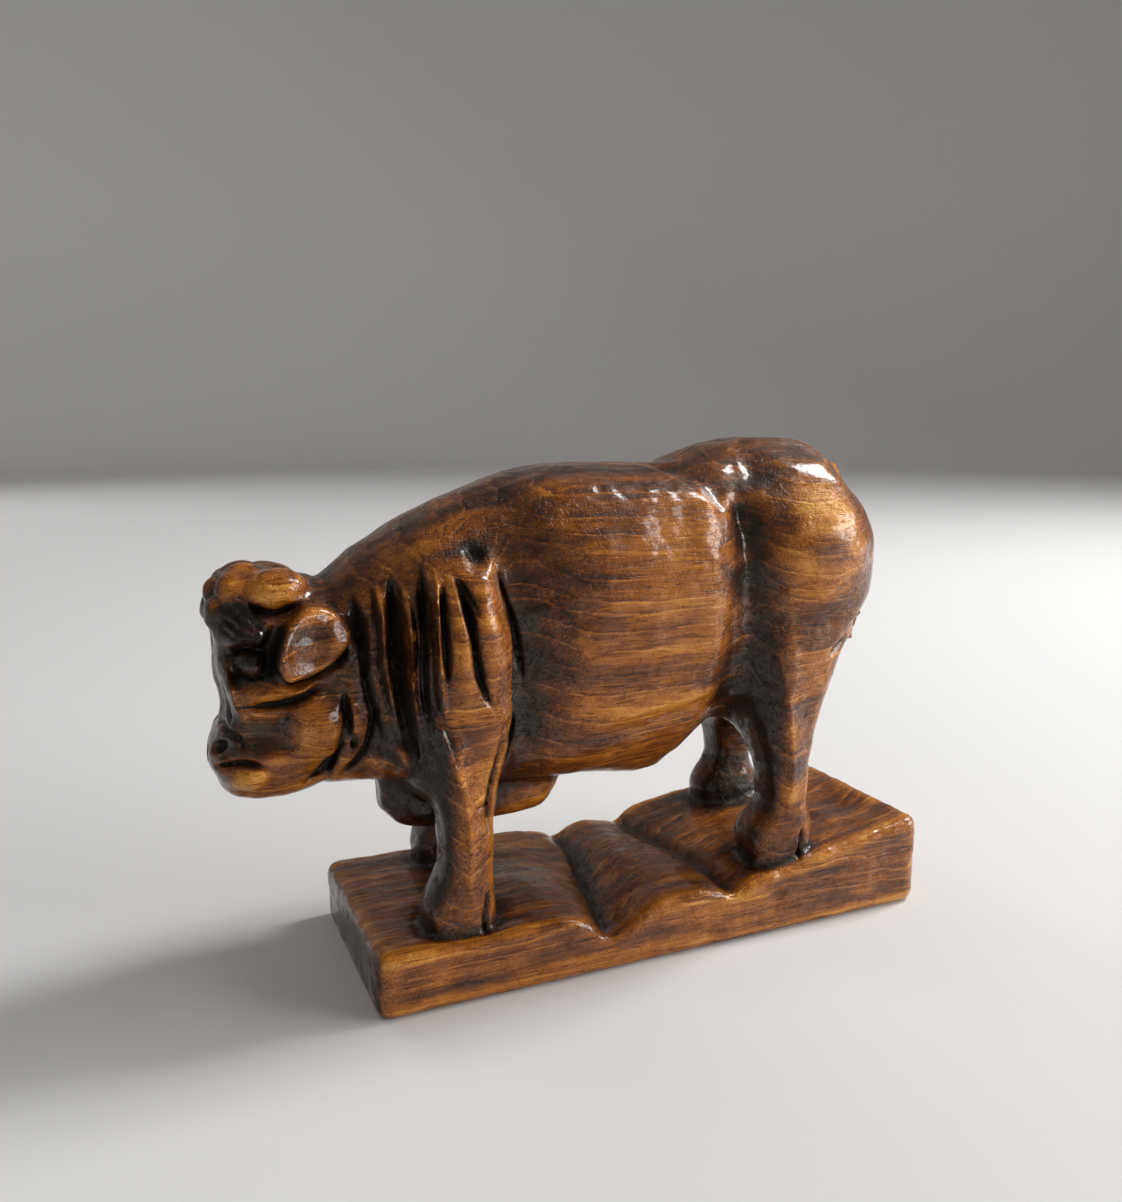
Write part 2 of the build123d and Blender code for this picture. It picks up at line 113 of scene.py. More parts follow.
# Knife cuts in the side view, given in the same way.
CUTS = [
    # The shoulder.
    ("left_foreleg", [(0.30, 1.00), (0.41, 0.90), (0.44, 0.82), (0.52, 0.70), (0.70, 0.59)], 2.2, 3.0),
    ("left_foreleg", [(0.22, 0.97), (0.19, 0.83), (0.21, 0.68)], 1.9, 2.4),
    ("left_foreleg", [(0.78, 1.00), (0.83, 0.93), (0.93, 0.85), (1.01, 0.74), (1.06, 0.62)], 1.8, 1.6),
    ("left_foreleg", [(0.34, 0.98), (0.43, 0.93), (0.53, 0.86)], 1.6, 1.3),
    # The forearm.
    ("left_foreleg", [(0.80, 0.61), (0.68, 0.46), (0.61, 0.36), (0.60, 0.26)], 2.2, 2.0),
    ("left_foreleg", [(0.97, 0.62), (0.86, 0.47), (0.76, 0.35)], 2.0, 1.8),
    ("left_foreleg", [(0.10, 0.66), (0.20, 0.56), (0.28, 0.46)], 1.6, 1.0),
    # The neck's folds.
    ("neck", [(0.66, 0.90), (0.64, 0.66), (0.67, 0.46), (0.84, 0.16)], 1.6, 1.6),
    ("neck", [(0.97, 0.92), (0.94, 0.68), (0.91, 0.48), (0.98, 0.20)], 1.6, 1.8),
    ("neck", [(0.45, 0.84), (0.47, 0.66), (0.49, 0.50), (0.66, 0.22)], 1.4, 1.4),
    ("neck", [(0.83, 0.84), (0.84, 0.62), (0.82, 0.46), (0.90, 0.24)], 1.3, 1.3),
    ("neck", [(0.57, 0.74), (0.58, 0.60), (0.62, 0.42)], 1.3, 1.2),
    ("neck", [(0.24, 0.80), (0.32, 0.60), (0.37, 0.42), (0.56, 0.18)], 1.6, 1.8),
    ("neck", [(1.03, 0.82), (0.99, 0.62), (0.99, 0.44), (1.06, 0.26)], 1.3, 1.3),
    # The throat's folds.
    ("neck", [(0.10, 0.46), (0.15, 0.30), (0.26, 0.16)], 2.2, 2.4),
    ("neck", [(0.46, 0.40), (0.32, 0.22), (0.04, 0.08)], 2.2, 2.6),
    # Under the ear and the cheekbone, and round the jowl.
    ("head", [(0.52, 0.575), (0.68, 0.575), (0.86, 0.595), (1.06, 0.66), (1.16, 0.76)], 2.8, 3.4),
    ("head", [(0.25, 0.455), (0.45, 0.465), (0.63, 0.475), (0.79, 0.505), (0.98, 0.55)], 2.8, 3.0),
    ("head", [(1.06, 0.40), (1.04, 0.24), (0.88, 0.11), (0.70, 0.06)], 2.6, 2.6),
    # The lids.
    ("head", [(0.18, 0.67), (0.34, 0.725), (0.48, 0.68)], 1.6, 1.8),
    ("head", [(0.20, 0.63), (0.34, 0.595), (0.48, 0.61)], 1.4, 1.6),
    # The mouth and the muzzle.
    ("head", [(0.00, 0.165), (0.14, 0.19), (0.28, 0.205), (0.46, 0.17)], 1.9, 2.4),
    ("head", [(0.08, 0.345), (0.22, 0.32), (0.28, 0.235)], 1.8, 1.6),
    # The hair that falls from the poll.
    ("head", [(0.34, 0.93), (0.42, 0.885), (0.55, 0.87), (0.68, 0.885), (0.82, 0.915)], 2.8, 3.4),
    ("head", [(0.50, 0.77), (0.43, 0.84), (0.38, 0.92)], 1.3, 1.2),
    ("head", [(0.48, 0.77), (0.38, 0.84), (0.31, 0.92)], 1.3, 1.2),
    ("head", [(0.46, 0.77), (0.33, 0.82), (0.23, 0.90)], 1.3, 1.2),
    ("head", [(0.44, 0.76), (0.28, 0.80), (0.16, 0.86)], 1.3, 1.2),
    ("head", [(0.40, 0.75), (0.26, 0.77), (0.13, 0.81)], 1.3, 1.2),
    # The buttock's fold.
    ("left_hind_leg", [(1.00, 0.66), (0.74, 0.575), (0.50, 0.52)], 3.4, 1.6),
    # The clefts of the hooves and the knee's crease.
    ("left_foreleg", [(0.62, 0.12), (0.58, 0.05), (0.52, -0.03)], 1.8, 1.8),
    ("left_foreleg", [(0.44, 0.36), (0.54, 0.355), (0.62, 0.365)], 1.8, 1.2),
    ("left_hind_leg", [(0.46, 0.10), (0.44, 0.04), (0.40, -0.03)], 1.8, 1.8),
    # The tail's strands.
    ("tail", [(0.62, 0.42), (0.74, 0.22), (0.86, 0.06)], 1.4, 1.4),
    ("tail", [(0.80, 0.40), (0.90, 0.22), (0.98, 0.08)], 1.4, 1.4),
]

# Raised edges in the side view, given as the cuts are.
RIDGES = [
    ("head", [(0.18, 0.72), (0.17, 0.60), (0.22, 0.46), (0.31, 0.36)], 2.8, 2.0),   # the face's edge
    ("head", [(0.14, 0.73), (0.32, 0.775), (0.50, 0.75)], 3.6, 2.2),                # the brow
    ("head", [(0.20, 0.535), (0.46, 0.52), (0.70, 0.535), (0.90, 0.57)], 3.2, 2.2),  # the cheekbone
    ("neck", [(0.50, 0.86), (0.53, 0.66), (0.55, 0.50), (0.72, 0.22)], 2.2, 1.6),
    ("neck", [(0.76, 0.88), (0.77, 0.66), (0.79, 0.48), (0.92, 0.18)], 2.2, 1.6),
    ("neck", [(1.10, 0.90), (1.04, 0.66), (1.05, 0.46), (1.12, 0.28)], 2.2, 1.6),
    ("neck", [(0.16, 0.44), (0.20, 0.32), (0.14, 0.20)], 2.2, 1.4),                 # the throat
    ("neck", [(0.40, 0.36), (0.28, 0.24), (0.10, 0.14)], 2.2, 1.4),
    ("left_foreleg", [(0.02, 0.66), (0.16, 0.56), (0.27, 0.46), (0.38, 0.33), (0.40, 0.16), (0.42, 0.04)],
     8.0, 2.6),                                                                     # the shin
    ("left_hind_leg", [(0.08, 0.70), (0.20, 0.50), (0.31, 0.28), (0.34, 0.10)], 9.0, 2.2),
    ("left_hind_leg", [(0.60, 0.14), (0.64, 0.10), (0.60, 0.05)], 5.0, 1.4),        # the fetlock
    ("trunk", [(0.30, 0.78), (0.43, 0.815), (0.53, 0.825), (0.585, 0.80)], 7.0, 1.2),  # the barrel's edges
    ("trunk", [(0.24, 0.22), (0.36, 0.26), (0.48, 0.285), (0.60, 0.30)], 6.0, 1.4),
]

# Round forms: node, centre as shares of its length, half width and height, and three radii.
CURLS = [
    ("forelock", (0.85, 0.66, 0.40), (9.5, 7.6, 6.4)),
    ("forelock", (0.25, 0.50, 0.42), (5.2, 5.0, 5.4)),
    ("forelock", (0.04, 0.42, -0.12), (4.2, 5.0, 4.6)),
    ("forelock", (0.42, 0.22, 0.76), (5.4, 4.2, 4.0)),
    ("forelock", (0.08, 0.00, 0.30), (4.6, 3.6, 5.0)),
    ("tail", (0.76, 0.00, 0.20), (6.6, 5.4, 10.0)),
]
CURL_SOFTNESS = 1.6

# The ears: a shell on each side that stands out in front and lies against the neck behind.
EAR_MIDDLE = (0.52, 0.60)     # as shares of the ear's length and height
EAR_HALF_LENGTH = 9.8
EAR_HALF_HEIGHT = 10.0
EAR_STAND = 29.0              # how far the front rim is from the middle of the bull
EAR_LEAN = 0.32               # how much closer it comes for each millimetre back
EAR_DROP = 0.34               # and for each millimetre up from its middle
EAR_TIP = 0.32                # how far its tip stands out, as a share of its length
EAR_TIP_TURN = math.radians(-140)
EAR_DISH = 1.8                # the depth of its hollow
EAR_HOLLOW = (-2.5, -1.5, 9.0, 10.0)   # the hollow's middle from the ear's, and half its size
EAR_ROOT = 12.0
EAR_EDGE = 1.6                # how round its rim is
EAR_JOIN = 2.6                # how softly it grows out of the head

LIGHT_SCRAPE = 0.6     # how far the knife evens out a joint
HEAVY_SCRAPE = 3.6
BROAD = 3.0            # how far round a point the carver looks to see which way it faces

# Grooves seen from above: node, shares of its length and half width, width and depth.
BACK_CUTS = [
    ("trunk", [(0.505, 0.05), (0.52, 0.35), (0.56, 0.66), (0.60, 0.90)], 9.0, 2.4),
    ("trunk", [(0.62, 0.0), (0.78, 0.0), (0.93, 0.0)], 8.0, 1.4),
]

# The face from the front, by shares of its half width and height.
FACE_CUTS = [
    ("head", [(0.46, 0.60), (0.40, 0.46), (0.50, 0.34)], 2.4, 1.6),    # beside the nose
    ("head", [(0.00, 0.14), (0.00, 0.20), (0.00, 0.25)], 1.6, 1.2),    # the parted lip
    ("head", [(0.00, 0.66), (0.00, 0.76), (0.00, 0.84)], 3.0, 1.2),    # the forehead
    ("head", [(0.08, 0.345), (0.30, 0.365), (0.52, 0.33)], 1.8, 1.0),  # above the nose
]
FACE_SWELLS = [
    ("head", (0.34, 0.255), 3.2, 2.5, -3.0, 35),                       # the nostrils
    ("head", (0.00, 0.50), 5.0, 14.0, 1.2, 0),                         # the nose's bridge
    ("head", (0.30, 0.80), 6.0, 5.0, 1.0, 0),                          # the brows
]

# The rear, given in the same way.
REAR_CUTS = [
    ("trunk", [(0.00, 0.62), (0.00, 0.45), (0.00, 0.30), (0.00, 0.16)], 7.0, 3.0),     # under the tail
    ("trunk", [(0.16, 0.98), (0.15, 0.86), (0.17, 0.72), (0.15, 0.58)], 3.4, 1.6),     # beside the tail
    ("trunk", [(0.70, 0.50), (0.54, 0.34), (0.44, 0.20)], 5.0, 1.6),                   # the thigh
]
REAR_SWELLS = [
    ("trunk", (0.55, 0.66), 16.0, 24.0, 1.8, 0),                       # the buttocks
    ("left_hind_leg", (0.72, 0.24), 4.0, 9.0, 2.0, 0),                 # the hocks
]

# Where the side view is made brighter, by rubbing and by painted light, or, below nothing, darker, by stain left
# and by painted shade: node, centre as shares of its length and height, half length, half height and by how
# much.
WEAR_AND_PAINTED_LIGHT = [
    ("trunk", (0.44, 0.57), 27, 30, 0.22),
    ("trunk", (0.42, 0.26), 34, 10, 0.16),
    ("trunk", (0.50, 0.78), 24, 9, 0.12),
    ("left_hind_leg", (0.50, 0.82), 21, 23, 0.40),
    ("left_hind_leg", (0.62, 0.40), 9, 40, 0.08),
    ("left_hind_leg", (0.46, 0.90), 17, 13, 0.16),
    ("left_foreleg", (0.68, 0.76), 8, 20, 0.04),
    ("left_ear", (0.40, 0.55), 11, 12, -0.20),
    ("left_foreleg", (0.34, 0.74), 5, 18, 0.08),
    ("left_foreleg", (0.62, 0.40), 8, 30, 0.10),
    ("head", (0.86, 0.34), 8, 14, 0.24),
    ("head", (0.80, 0.70), 8, 9, 0.15),
    ("head", (0.55, 0.94), 8, 6, 0.25),
    ("head", (0.30, 0.125), 7, 4.5, 0.28),
    ("head", (0.10, 0.60), 9, 30, -0.36),
    ("head", (0.44, 0.68), 9, 12, -0.35),
    ("head", (0.30, 0.84), 9, 8, -0.50),
    ("head", (0.28, 0.27), 9, 9, -0.30),
    ("neck", (0.45, 0.55), 15, 36, -0.16),
    ("trunk", (0.20, 0.45), 13, 60, -0.10),
    ("trunk", (0.67, 0.50), 8, 56, -0.06),
    ("left_foreleg", (0.08, 0.38), 8, 50, -0.40),
    ("left_foreleg", (0.50, 0.06), 16, 12, -0.10),
    ("left_foreleg", (0.70, 0.20), 7, 26, 0.04),
    ("left_hind_leg", (0.14, 0.36), 9, 56, -0.32),
    ("left_hind_leg", (0.45, 0.06), 18, 14, -0.20),
    ("brisket", (0.30, 0.40), 24, 14, -0.60),
    ("neck", (0.95, 0.20), 15, 20, -0.26),
]
PLACE_REACH = 6.0     # how far past its own solid such a place can go
END_GRAIN_AND_PAINTED_SHADE = 0.40      # how much darker what faces forward, away from the lamps, is left: end grain that drinks more stain, and painted shade
INSIDE_PAINTED_SHADE = 0.26         # how much painted shade lies on the inner sides of the legs
UPWARD_PAINTED_SHADE = 0.10         # and how much painted shade lies on what faces up along the back

# The ground: cuts across it, from the far edge to the near one, and swells between them.
GROUND_CUTS = [
    ([(0.435, 1.05), (0.43, 0.40), (0.40, -0.30), (0.365, -1.05)], 5.0, 4.4),
    ([(0.565, 1.05), (0.575, 0.30), (0.60, -0.40), (0.61, -1.05)], 4.0, 3.2),
]
GROUND_SWELLS = [
    ((0.26, -0.30), 26, 26, 2.0, 0),
    ((0.50, -0.10), 14, 34, 1.2, 10),
    ((0.93, -0.25), 13, 20, -2.4, 0),
]
HOOF_HOLLOW = 2.6     # depth of the hollow that each hoof stands in
HOOF_ROOM = 7.0       # how far that hollow reaches past the hoof
GROUND_WEAR = 1.2     # how far the ground's edges are worn round
GROUND_JOIN = 2.4     # how softly the ground rises to the hooves


def share(node, along, up):
    """A place in the side view, from shares of a solid's length and height."""
    low, high = BOX[node]
    return np.array([low[0] + along * (high[0] - low[0]), low[2] + up * (high[2] - low[2])])


def share_above(node, along, out):
    """A place seen from above, from shares of a solid's length and half width."""
    low, high = BOX[node]
    return np.array([low[0] + along * (high[0] - low[0]), out * (high[1] - low[1]) / 2])


def share_ahead(node, out, up):
    """A place seen from the front, from shares of a solid's half width and height."""
    low, high = BOX[node]
    return np.array([out * (high[1] - low[1]) / 2, low[2] + up * (high[2] - low[2])])


def share_round(node, along, out, up):
    """A place from shares of a solid's length, half width and height, on the left or the right."""
    low, high = BOX[node]
    inner, outer = (0, high[1]) if low[1] < 0 < high[1] else sorted(np.abs([low[1], high[1]]))
    (x, z) = share(node, along, up)
    return np.array([x, inner + out * (outer - inner), z])


BOX = {node: [np.array(corner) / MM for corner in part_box(node)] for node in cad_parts}
LOW = np.min([low for low, high in BOX.values()], axis=0) - SPARE
HIGH = np.max([high for low, high in BOX.values()], axis=0) + SPARE
COUNT = np.ceil((HIGH - LOW) / GRAIN).astype(int) + 1
AXES = [(LOW[i] + GRAIN * np.arange(COUNT[i])).astype(np.float32) for i in range(3)]
X = AXES[0][:, None, None]
Y = AXES[1][None, :, None]
Z = AXES[2][None, None, :]


def ease(value, start, end):
    """Rises smoothly from 0 at start to 1 at end."""
    t = np.clip((value - start) / (end - start), 0, 1)
    return t * t * (3 - 2 * t)


def form(node):
    """A solid as distances to its surface, with the part of the block that it fills."""
    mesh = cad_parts[node].data
    mesh.calc_loop_triangles()
    points = np.empty(len(mesh.vertices) * 3, np.float32)
    mesh.vertices.foreach_get("co", points)
    triangles = np.empty(len(mesh.loop_triangles) * 3, np.int32)
    mesh.loop_triangles.foreach_get("vertices", triangles)
    points = ((points.reshape(-1, 3) / MM - LOW) / GRAIN).astype(np.float32)
    reach = REACH / GRAIN
    grid = openvdb.FloatGrid.createLevelSetFromPolygons(
        points, triangles=triangles.reshape(-1, 3).astype(np.uint32), halfWidth=reach)
    first = np.maximum(np.floor(points.min(0) - reach), 0).astype(int)
    last = np.minimum(np.ceil(points.max(0) + reach) + 1, COUNT).astype(int)
    part = np.empty(last - first, np.float32)
    grid.copyToArray(part, ijk=tuple(int(i) for i in first))
    return tuple(slice(a, b) for a, b in zip(first, last)), part * GRAIN


def soft_least(a, b, softness):
    """The lesser of two distances, eased where they are close."""
    crease = np.maximum(softness - np.abs(a - b), 0)
    return np.minimum(a, b) - crease ** 2 / (4 * softness)


def join(block, where, part, softness):
    """Joins a form to the block, filling the crease between them."""
    block[where] = soft_least(block[where], part, softness)


def around(middle, room):
    """The part of the block within some room of a place in the side view, on both sides."""
    first = [max(int((middle[i] - room - LOW[2 * i]) / GRAIN), 0) for i in range(2)]
    last = [int((middle[i] + room - LOW[2 * i]) / GRAIN) + 1 for i in range(2)]
    return slice(first[0], last[0]), slice(None), slice(first[1], last[1])


def through(points, steps=10):
    """A smooth line through a few points."""
    points = [np.asarray(p, float) for p in points]
    ends = [2 * points[0] - points[1]] + points + [2 * points[-1] - points[-2]]
    line = []
    for a, b, c, d in zip(ends, ends[1:], ends[2:], ends[3:]):
        for t in np.arange(steps) / steps:
            line.append(b + (c - a) * t / 2 + (2 * a - 5 * b + 4 * c - d) * t ** 2 / 2
                        + (3 * b - a - 3 * c + d) * t ** 3 / 2)
    return line + [points[-1]]


def stroke(across, up, points, width, depth, fade=0.3, blunt=False):
    """One pass of the knife, or of a blunt gouge, along a line, fading at its ends."""
    line = through(points)
    nearest = np.full(np.broadcast(across, up).shape, np.inf, np.float32)
    place = np.zeros_like(nearest)
    for number, (a, b) in enumerate(zip(line, line[1:])):
        step = b - a
        t = ((across - a[0]) * step[0] + (up - a[1]) * step[1]) / (step @ step)
        t = np.clip(t, 0, 1)
        gap = np.hypot(across - a[0] - t * step[0], up - a[1] - t * step[1])
        closer = gap < nearest
        nearest = np.where(closer, gap, nearest)
        place = np.where(closer, (number + t) / (len(line) - 1), place)
    ends = ease(np.minimum(place, 1 - place), 0, fade)
    inside = np.clip(1 - nearest / (width * (0.4 + 0.6 * ends)), 0, 1)
    return depth * ends * (ease(inside, 0, 1) if blunt else inside ** 1.6)


def swell(across, up, centre, half_length, half_height, height, turn):
    """A round form that rises smoothly out of the surface."""
    c, s = math.cos(math.radians(turn)), math.sin(math.radians(turn))
    a, b = across - centre[0], up - centre[1]
    far = ((a * c + b * s) / half_length) ** 2 + ((b * c - a * s) / half_height) ** 2
    return height * np.clip(1 - far, 0, 1) ** 2


def add_curl(block, node, centre, radii):
    """Joins a round form to the block on each side."""
    middle = share_round(node, *centre)
    where = around(middle[::2], max(radii) + SPARE)
    gaps = [(X[where[0]] - middle[0]) / radii[0], (np.abs(Y) - middle[1]) / radii[1],
            (Z[:, :, where[2]] - middle[2]) / radii[2]]
    away = np.sqrt(gaps[0] ** 2 + gaps[1] ** 2 + gaps[2] ** 2) - 1
    join(block, where, away * min(radii), CURL_SOFTNESS)


def add_ears(block):
    """Joins an ear to the block on each side."""
    middle = share("left_ear", *EAR_MIDDLE)
    where = around(middle, EAR_HALF_HEIGHT + SPARE)
    x, z = X[where[0]], Z[:, :, where[2]]
    turn = np.arctan2(z - middle[1], x - middle[0]) - EAR_TIP_TURN
    tip = 1 + EAR_TIP * np.clip(np.cos(turn), 0, 1) ** 6
    away = np.hypot((x - middle[0]) / EAR_HALF_LENGTH, (z - middle[1]) / EAR_HALF_HEIGHT) / tip - 1
    rim = EAR_STAND - EAR_LEAN * (x - BOX["left_ear"][0][0]) - EAR_DROP * np.maximum(z - middle[1], 0)
    back, up, half_length, half_height = EAR_HOLLOW
    deep = 1 - np.hypot((x - middle[0] - back) / half_length, (z - middle[1] - up) / half_height)
    dish = EAR_DISH * ease(deep, 0, 0.7)
    shell = -soft_least(-away * EAR_HALF_LENGTH, rim - dish - np.abs(Y), EAR_EDGE)
    join(block, where, np.maximum(shell, EAR_ROOT - np.abs(Y)), EAR_JOIN)


def outward(block, axis):
    """How far the surface faces along one axis."""
    return np.gradient(block, GRAIN, axis=axis)


def carve_sides(block, relief):
    """Moves both flanks out by the side view's relief, and leaves the legs' inner sides alone."""
    block -= relief[:, None, :] * ease(outward(blurred(block, BROAD), 1) * np.sign(Y), 0.1, 0.5)


def carve_end(block, relief, way, start, end):
    """Moves what faces one end out by the relief seen from there, from one place to another."""
    block -= relief[None, :, :] * ease(way * outward(block, 0), 0.2, 0.7) * ease(X, start, end)


def carve_back(block, relief):
    """Moves what faces up out by the relief seen from above."""
    block -= relief[:, :, None] * ease(outward(block, 2), 0.1, 0.6)


def side_forms():
    """The side view's broad forms."""
    across, up = AXES[0][:, None], AXES[2][None, :]
    relief = np.zeros((COUNT[0], COUNT[2]), np.float32)
    for node, centre, half_length, half_height, height, turn in SWELLS:
        relief += swell(across, up, share(node, *centre), half_length, half_height, height, turn)
    for node, line, width, depth in GOUGES:
        relief -= stroke(across, up, [share(node, *p) for p in line], width, depth, 0.18, blunt=True)
    return relief


def side_lines():
    """The side view's cuts and edges."""
    across, up = AXES[0][:, None], AXES[2][None, :]
    relief = np.zeros((COUNT[0], COUNT[2]), np.float32)
    for lines, way in ((CUTS, -1), (RIDGES, 1)):
        for node, line, width, depth in lines:
            relief += way * stroke(across, up, [share(node, *p) for p in line], width, depth)
    return relief


def back_relief(cuts):
    across, out = AXES[0][:, None], np.abs(AXES[1][None, :])
    relief = np.zeros((COUNT[0], COUNT[1]), np.float32)
    for node, line, width, depth in cuts:
        line = [share_above(node, *p) for p in line]
        relief -= stroke(across, out, line, width, depth, 0.2, blunt=True)
    return relief


def end_relief(cuts, swells):
    out, up = np.abs(AXES[1][:, None]), AXES[2][None, :]
    relief = np.zeros((COUNT[1], COUNT[2]), np.float32)
    for node, line, width, depth in cuts:
        relief -= stroke(out, up, [share_ahead(node, *p) for p in line], width, depth)
    for node, centre, half_width, half_height, height, turn in swells:
        relief += swell(out, up, share_ahead(node, *centre), half_width, half_height, height, turn)
    return relief


def plant_hooves(block):
    """Carries each hoof's outline straight down, so that it stands in the ground's hollows."""
    for leg in LEGS:
        where, part = FORMS[leg]
        root = int((BOX[leg][0][2] + HOOF_ROOT - LOW[2]) / GRAIN)
        below = (where[0], where[1], slice(where[2].start, root))
        block[below] = np.minimum(block[below], block[where[0], where[1], root][:, :, None])


def soften(block):
    """Runs the knife lightly over every joint, and well over those of the withers."""
    block = blurred(block, LIGHT_SCRAPE)
    front, top = share("neck", 0, 0.8)
    back, shoulder = share("left_foreleg", 1, 0.84)
    near = ease(X, front, front + 8) * ease(X, back + 9, back)
    near = near * ease(Z, min(top, shoulder) - 8, min(top, shoulder) + 6)
    return block + near * (blurred(block, HEAVY_SCRAPE) - block)


def carve_bull():
    block = np.full(COUNT, REACH, np.float32)
    for node, softness in JOINS.items():
        join(block, *FORMS[node], softness)
    block = soften(block)
    carve_sides(block, side_forms())
    carve_back(block, back_relief(BACK_CUTS))
    for node, centre, radii in CURLS:
        add_curl(block, node, centre, radii)
    add_ears(block)
    carve_sides(block, side_lines())
    face, poll = share("head", 0.5, 0)[0], BOX["head"][1][0]
    carve_end(block, end_relief(FACE_CUTS, FACE_SWELLS), -1, poll, face)
    rump, loin = share("trunk", 0.9, 0)[0], share("trunk", 0.6, 0)[0]
    carve_end(block, end_relief(REAR_CUTS, REAR_SWELLS), 1, loin, rump)
    plant_hooves(block)
    return block


def ground_relief():
    across, out = AXES[0][:, None], AXES[1][None, :]
    relief = np.zeros((COUNT[0], COUNT[1]), np.float32)
    for line, width, depth in GROUND_CUTS:
        relief -= stroke(across, out, [share_above("plinth", *p) for p in line], width, depth, 0.02)
    for centre, half_length, half_width, height, turn in GROUND_SWELLS:
        relief += swell(across, out, share_above("plinth", *centre), half_length, half_width, height, turn)
    for leg in LEGS:
        low, high = hoof_box(leg)
        size = (high - low) / 2 + HOOF_ROOM
        relief += swell(across, out, (low + high) / 2, *size, -HOOF_HOLLOW, 0)
    return relief


def hoof_box(leg):
    """The length and width that a leg takes up at its hoof."""
    where, part = FORMS[leg]
    level = int((BOX[leg][0][2] + HOOF_ROOT - LOW[2]) / GRAIN) - where[2].start
    taken = np.argwhere(part[:, :, level] < 0) + [where[0].start, where[1].start]
    return taken.min(0) * GRAIN + LOW[:2], taken.max(0) * GRAIN + LOW[:2]


def carve_ground():
    block = np.full(COUNT, REACH, np.float32)
    where, part = FORMS["plinth"]
    block[where] = part
    carve_back(block, ground_relief())
    return blurred(block, GROUND_WEAR)


def surface(block):
    """The block's surface as points and faces of four corners."""
    grid = openvdb.FloatGrid(REACH)
    grid.copyFromArray(block)
    points, quads = grid.convertToQuads(isovalue=0.0)
    points = np.asarray(points, np.float64) * GRAIN + LOW
    quads = np.asarray(quads, np.int64)
    out = np.einsum("ij,ij->", face_normals(points, quads), points[quads].mean(1) - points.mean(0))
    return points, quads if out > 0 else quads[:, ::-1]


def face_normals(points, quads):
    """The way each face looks, as long as twice its area."""
    return np.cross(points[quads[:, 2]] - points[quads[:, 0]], points[quads[:, 3]] - points[quads[:, 1]])


def point_normals(points, quads):
    """The way the surface looks at each point."""
    facing = face_normals(points, quads)
    normals = np.stack([sum(np.bincount(quads[:, corner], facing[:, axis], len(points)) for corner in range(4))
                        for axis in range(3)], axis=1)
    return normals / np.linalg.norm(normals, axis=1)[:, None]


def hand_worked(points, normals):
    """Leaves the surface slightly uneven, as the knife and the rasp do, but for the flat underside."""
    above = ease(points[:, 2], 0, UNDERSIDE)
    for size, height in UNEVENNESS:
        bumps = np.array([noise.noise(Vector(p) / size) for p in points])
        points = points + normals * (bumps * height * above)[:, None]
    cups = np.array([noise.voronoi(Vector(p))[0][0] for p in points / KNIFE_MARKS])
    return points + normals * (KNIFE_DEPTH * (cups ** 2 - 0.25) * above)[:, None]


def wear_and_painted_light(points, normals):
    """How much brighter or darker each point is left: the stain worn off or left there, and painted light and
    shade.
    """
    sideways = ease(np.abs(normals[:, 1]), 0.15, 0.6)
    # Painted shade on what faces up along the back, on the legs' inner sides, and on what faces forward, where
    # the end grain also drinks more stain.
    back = ease(normals[:, 2], 0.45, 0.9) * (points[:, 2] > BOX["plinth"][1][2])
    inside = ease(-normals[:, 1] * np.sign(points[:, 1]), 0.2, 0.7)
    tone = -END_GRAIN_AND_PAINTED_SHADE * ease(-normals[:, 0], 0.6, 0.95) - UPWARD_PAINTED_SHADE * back - INSIDE_PAINTED_SHADE * inside
    for node, centre, half_length, half_height, by in WEAR_AND_PAINTED_LIGHT:
        x, z = share(node, *centre)
        far = ((points[:, 0] - x) / half_length) ** 2 + ((points[:, 2] - z) / half_height) ** 2
        beside = np.minimum(sample(*FORMS[node], points), sample(*FORMS[node.replace("left", "right")], points))
        tone += by * sideways * ease(far, 1, 0) * ease(beside, PLACE_REACH, PLACE_REACH / 3)
    return tone


def sample(where, part, points):
    """A form's distances at some points, REACH away outside its part of the block."""
    index = np.rint((points - LOW) / GRAIN).astype(int) - [s.start for s in where]
    inside = np.all((index >= 0) & (index < part.shape), axis=1)
    index = np.clip(index, 0, np.array(part.shape) - 1)
    return np.where(inside, part[tuple(index.T)], REACH)


def blurred(field, radius):
    """A field averaged over about that radius, by three running means along each axis."""
    half = max(int(round(radius / GRAIN)), 1)
    for axis in (0, 1, 2) * 3:
        wide = [(half + 1, half) if a == axis else (0, 0) for a in range(3)]
        total = np.cumsum(np.pad(field, wide, mode="edge"), axis=axis, dtype=np.float32)
        size = field.shape[axis]
        ahead = np.take(total, range(2 * half + 1, 2 * half + 1 + size), axis=axis)
        field = (ahead - np.take(total, range(size), axis=axis)) / (2 * half + 1)
    return field


def read_between(field, points):
    """A field's value at points between those of the block."""
    place = (points - LOW) / GRAIN
    corner = np.clip(np.floor(place).astype(int), 0, np.array(field.shape) - 2)
    part = place - corner
    value = np.zeros(len(points))
    for step in np.ndindex(2, 2, 2):
        weight = np.prod(np.where(step, part, 1 - part), axis=1)
        value += weight * field[tuple((corner + step).T)]
    return value


def shared_edges(quads):
    """Pairs of faces that share an edge."""
    ends = np.sort(np.stack([quads, np.roll(quads, -1, axis=1)], axis=2), axis=2).reshape(-1, 2)
    face = np.repeat(np.arange(len(quads)), 4)
    order = np.lexsort((ends[:, 1], ends[:, 0]))
    same = np.all(ends[order][1:] == ends[order][:-1], axis=1)
    return face[order][:-1][same], face[order][1:][same]


def patches(owner, pairs):
    """Numbers the connected patches of faces that belong to one piece."""
    a, b = (side[owner[pairs[0]] == owner[pairs[1]]] for side in pairs)
    patch = np.arange(len(owner))
    while True:
        least = np.minimum(patch[a], patch[b])
        grown = patch.copy()
        np.minimum.at(grown, a, least)
        np.minimum.at(grown, b, least)
        grown = grown[grown]
        if np.array_equal(grown, patch):
            return patch
        patch = grown


